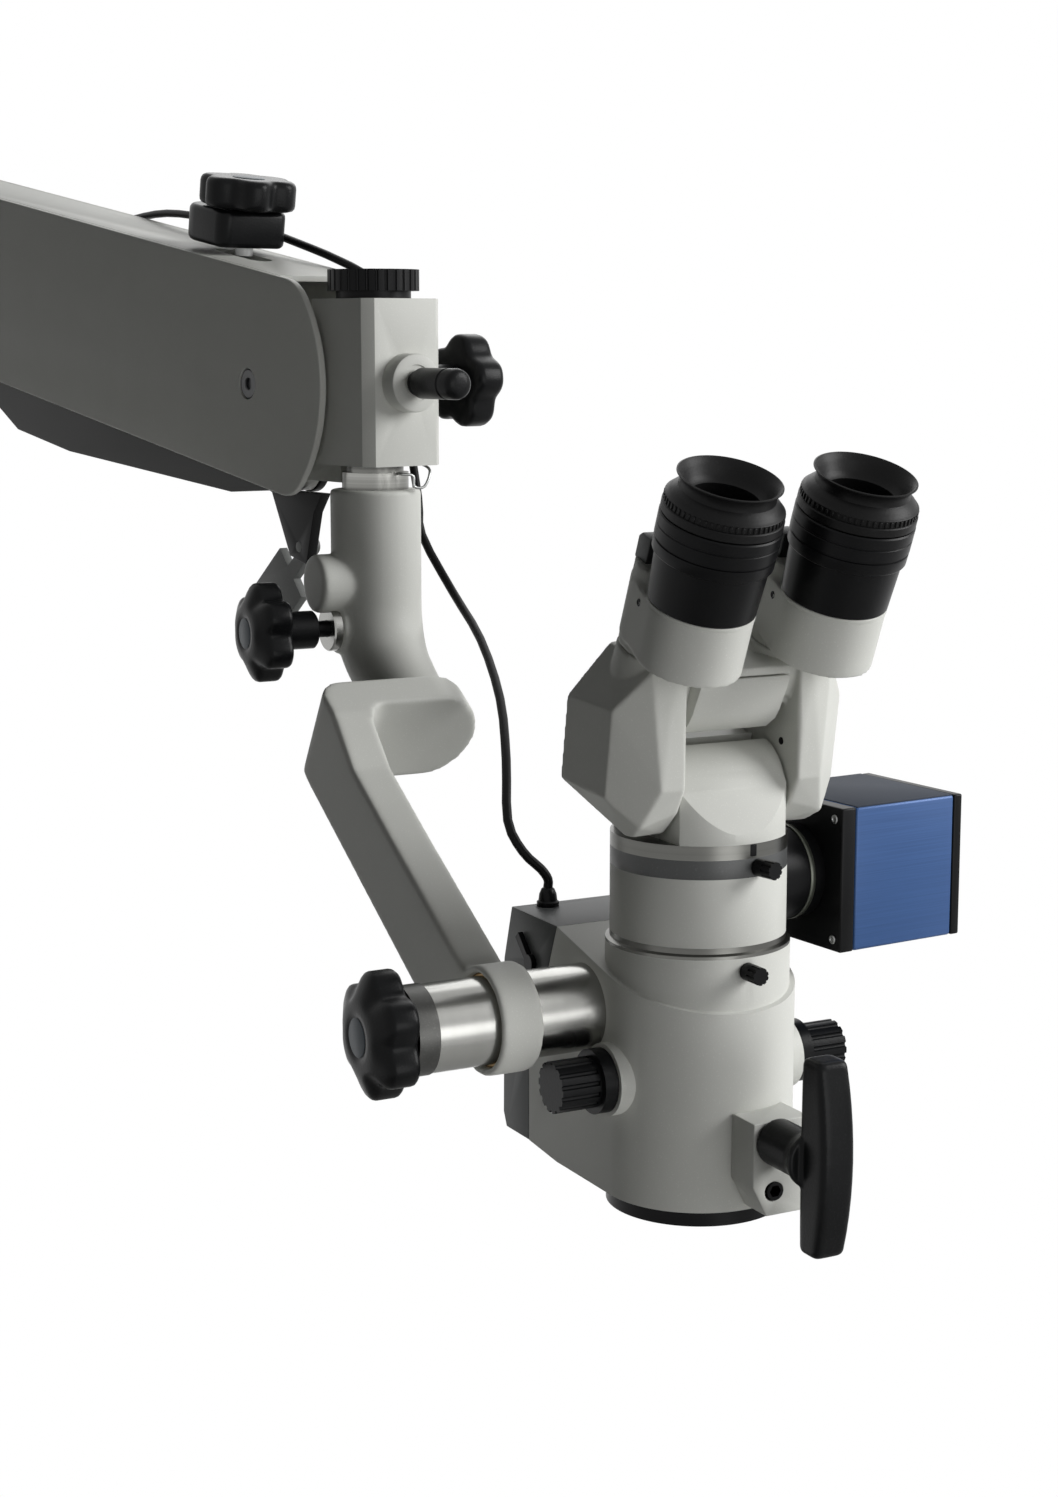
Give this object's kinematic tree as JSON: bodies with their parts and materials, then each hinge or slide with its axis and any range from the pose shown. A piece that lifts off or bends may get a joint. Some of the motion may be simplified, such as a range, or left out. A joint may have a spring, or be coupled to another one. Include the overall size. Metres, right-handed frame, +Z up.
{
  "type": "surgical microscope",
  "caption": "Surgical operating microscope head with inclinable binocular, side camera and balanced suspension arm",
  "frame": {"origin": "centre of the vertical mounting pin at its shoulder, under the rear block", "axes": "+Z up along the mounting pin; -Y towards the surgeon, from whom the eyepieces are seen; +X towards the camera side"},
  "size_m": [0.2988, 0.993, 0.5001],
  "materials": {
    "white_paint": "cast aluminium under white powder coat, fine texture, satin",
    "grey_paint": "aluminium under grey powder coat, satin",
    "steel": "turned",
    "chrome": "polished",
    "black_plastic": "moulded, satin",
    "black_metal": "black anodised",
    "blue_anodised": "blue anodised, brushed",
    "rubber": "soft rubber",
    "cable_rubber": "smooth sheath",
    "lens_glass": "coated glass",
    "bronze": "turned",
    "bare_aluminium": "milled"
  },
  "bodies": {
    "rear_mount": {"rear_block": "white_paint", "mount_spindle": "steel"},
    "arm": {"arm_frame": "steel", "arm_pins": "steel", "side_covers": "white_paint", "top_cover": "white_paint", "cover_screws": "steel", "balance_spring": "steel", "cable_clips": "black_plastic", "arm_cable": "cable_rubber"},
    "tension": {"tension_knob": "black_plastic"},
    "link": {"lower_link": "black_metal", "link_pins": "steel"},
    "block": {"front_block": "white_paint", "plunger_collar": "white_paint", "lock_bracket": "black_metal"},
    "plunger": {"index_plunger": "black_plastic"},
    "block_brake": {"block_knob": "black_plastic"},
    "lever": {"lock_lever": "grey_paint"},
    "elbow_unit": {"spindle": "chrome", "spindle_nut": "black_metal", "elbow": "white_paint", "swivel_pin": "white_paint", "cable_drop": "cable_rubber"},
    "elbow_brake": {"elbow_knob": "black_plastic"},
    "crank": {"crank_arm": "white_paint", "shaft_bush": "bronze"},
    "head": {"tilt_shaft": "chrome", "shaft_collar": "grey_paint", "head_housing": "white_paint", "rear_cover": "grey_paint", "lamp_module": "bare_aluminium", "cable_gland": "black_plastic", "objective_ring": "black_metal", "objective_lens": "lens_glass", "handle_block": "white_paint", "groove_ring": "steel", "splitter_body": "white_paint", "splitter_prism": "lens_glass", "camera_adapter": "black_metal", "camera_plates": "black_metal", "camera_shell": "blue_anodised", "clamp_ring": "grey_paint"},
    "tilt_brake": {"tilt_knob": "black_plastic"},
    "zoom": {"mag_drum": "black_metal", "mag_knobs": "black_plastic"},
    "fan": {"fan_rotor": "black_plastic"},
    "filter": {"filter_lever": "black_plastic"},
    "handle": {"t_handle": "black_plastic"},
    "low_screw": {"lower_thumb_screw": "black_metal"},
    "high_screw": {"upper_thumb_screw": "black_metal"},
    "tube_base": {"turning_ring": "steel", "binocular_base": "white_paint"},
    "tube_head": {"binocular_housing": "white_paint"},
    "tube_left": {"left_tube": "white_paint", "left_eyepiece": "black_metal"},
    "tube_right": {"right_tube": "white_paint", "right_eyepiece": "black_metal"},
    "cup_left": {"left_eyecup": "rubber"},
    "cup_right": {"right_eyecup": "rubber"}
  },
  "joints": [
    {"name": "arm_lift", "type": "hinge", "parent": "rear_mount", "child": "arm", "pos_m": [0.01598, -0.0906, 0.08], "axis": [-0.9848, -0.1736, 0], "range_deg": [-20, 30], "deforming": ["cable_drop"]},
    {"name": "link_lift", "type": "hinge", "parent": "rear_mount", "child": "link", "pos_m": [0.01598, -0.0906, 0.036], "axis": [-0.9848, -0.1736, 0], "range_deg": [-20, 30]},
    {"name": "block_level", "type": "hinge", "parent": "arm", "child": "block", "pos_m": [0.08797, -0.4989, 0.01285], "axis": [-0.9848, -0.1736, 0], "range_deg": [-30, 20], "deforming": ["cable_drop"]},
    {"name": "tension_turn", "type": "hinge", "parent": "arm", "child": "tension", "pos_m": [0.07946, -0.45062, 0.0917], "axis": [0.0278, -0.1575, 0.9871], "range_deg": [-360, 360]},
    {"name": "plunger_pull", "type": "slide", "parent": "block", "child": "plunger", "axis": [0.1736, -0.9848, 0], "range_m": [0, 0.0065]},
    {"name": "block_brake_turn", "type": "hinge", "parent": "block", "child": "block_brake", "pos_m": [0.13366, -0.58528, 0.01485], "axis": [0.9848, 0.1736, 0], "range_deg": [-180, 180]},
    {"name": "lever_swing", "type": "hinge", "parent": "block", "child": "lever", "pos_m": [0.08921, -0.50593, -0.07675], "axis": [0.9848, 0.1736, 0], "range_deg": [-25, 25]},
    {"name": "elbow_swivel", "type": "hinge", "parent": "block", "child": "elbow_unit", "pos_m": [0.10169, -0.5767, -0.03315], "axis": [0, 0, 1], "range_deg": [-45, 135], "deforming": ["cable_drop"]},
    {"name": "elbow_brake_turn", "type": "hinge", "parent": "elbow_unit", "child": "elbow_brake", "pos_m": [0.06169, -0.5767, -0.11415], "axis": [-1, 0, 0], "range_deg": [-180, 180]},
    {"name": "crank_swivel", "type": "hinge", "parent": "elbow_unit", "child": "crank", "pos_m": [0.10169, -0.63401, -0.15986], "axis": [0, -0.8526, -0.5225], "range_deg": [-40, 40], "deforming": ["cable_drop"]},
    {"name": "head_tilt", "type": "hinge", "parent": "crank", "child": "head", "pos_m": [0.05069, -0.8217, -0.26315], "axis": [1, 0, 0], "range_deg": [-35, 45], "deforming": ["cable_drop"]},
    {"name": "tilt_brake_turn", "type": "hinge", "parent": "head", "child": "tilt_brake", "pos_m": [-0.00131, -0.8217, -0.26315], "axis": [-1, 0, 0], "range_deg": [-180, 180]},
    {"name": "zoom_turn", "type": "hinge", "parent": "head", "child": "zoom", "pos_m": [0.13869, -0.8467, -0.29065], "axis": [1, 0, 0], "continuous": true},
    {"name": "fan_turn", "type": "hinge", "parent": "head", "child": "fan", "pos_m": [0.13869, -0.7587, -0.29715], "axis": [0, 1, 0], "continuous": true},
    {"name": "filter_swing", "type": "hinge", "parent": "head", "child": "filter", "pos_m": [0.09419, -0.7707, -0.25415], "axis": [1, 0, 0], "range_deg": [-70, 20]},
    {"name": "handle_turn", "type": "hinge", "parent": "head", "child": "handle", "pos_m": [0.14219, -0.9067, -0.30915], "axis": [0, -1, 0], "range_deg": [-90, 90]},
    {"name": "low_screw_turn", "type": "hinge", "parent": "head", "child": "low_screw", "pos_m": [0.13869, -0.8947, -0.23665], "axis": [0, -1, 0], "range_deg": [-360, 360]},
    {"name": "high_screw_turn", "type": "hinge", "parent": "head", "child": "high_screw", "pos_m": [0.1462, -0.89208, -0.1909], "axis": [0.1633, -0.9866, 0], "range_deg": [-360, 360]},
    {"name": "tube_base_turn", "type": "hinge", "parent": "head", "child": "tube_base", "pos_m": [0.13869, -0.8467, -0.18315], "axis": [0, 0, 1], "range_deg": [-30, 5]},
    {"name": "tube_incline", "type": "hinge", "parent": "tube_base", "child": "tube_head", "pos_m": [0.13869, -0.8527, -0.14115], "axis": [1, 0, 0], "range_deg": [-22, 15]},
    {"name": "eye_gap_right", "type": "hinge", "parent": "tube_head", "child": "tube_right", "pos_m": [0.17219, -0.86679, -0.09292], "axis": [0, -0.3746, 0.9272], "range_deg": [-10, 12]},
    {"name": "eye_gap_left", "type": "hinge", "parent": "tube_head", "child": "tube_left", "pos_m": [0.10519, -0.86679, -0.09292], "axis": [0, -0.3746, 0.9272], "range_deg": [-12, 10]},
    {"name": "dioptre_right", "type": "hinge", "parent": "tube_right", "child": "cup_right", "pos_m": [0.17219, -0.91902, -0.02773], "axis": [0, -0.3746, 0.9272], "range_deg": [-135, 135]},
    {"name": "dioptre_left", "type": "hinge", "parent": "tube_left", "child": "cup_left", "pos_m": [0.10519, -0.91902, -0.02773], "axis": [0, -0.3746, 0.9272], "range_deg": [-135, 135]}
  ],
  "couplings": [
    {"joint": "link_lift", "follows": "arm_lift", "ratio": 1},
    {"joint": "block_level", "follows": "arm_lift", "ratio": -1},
    {"joint": "eye_gap_left", "follows": "eye_gap_right", "ratio": -1}
  ]
}
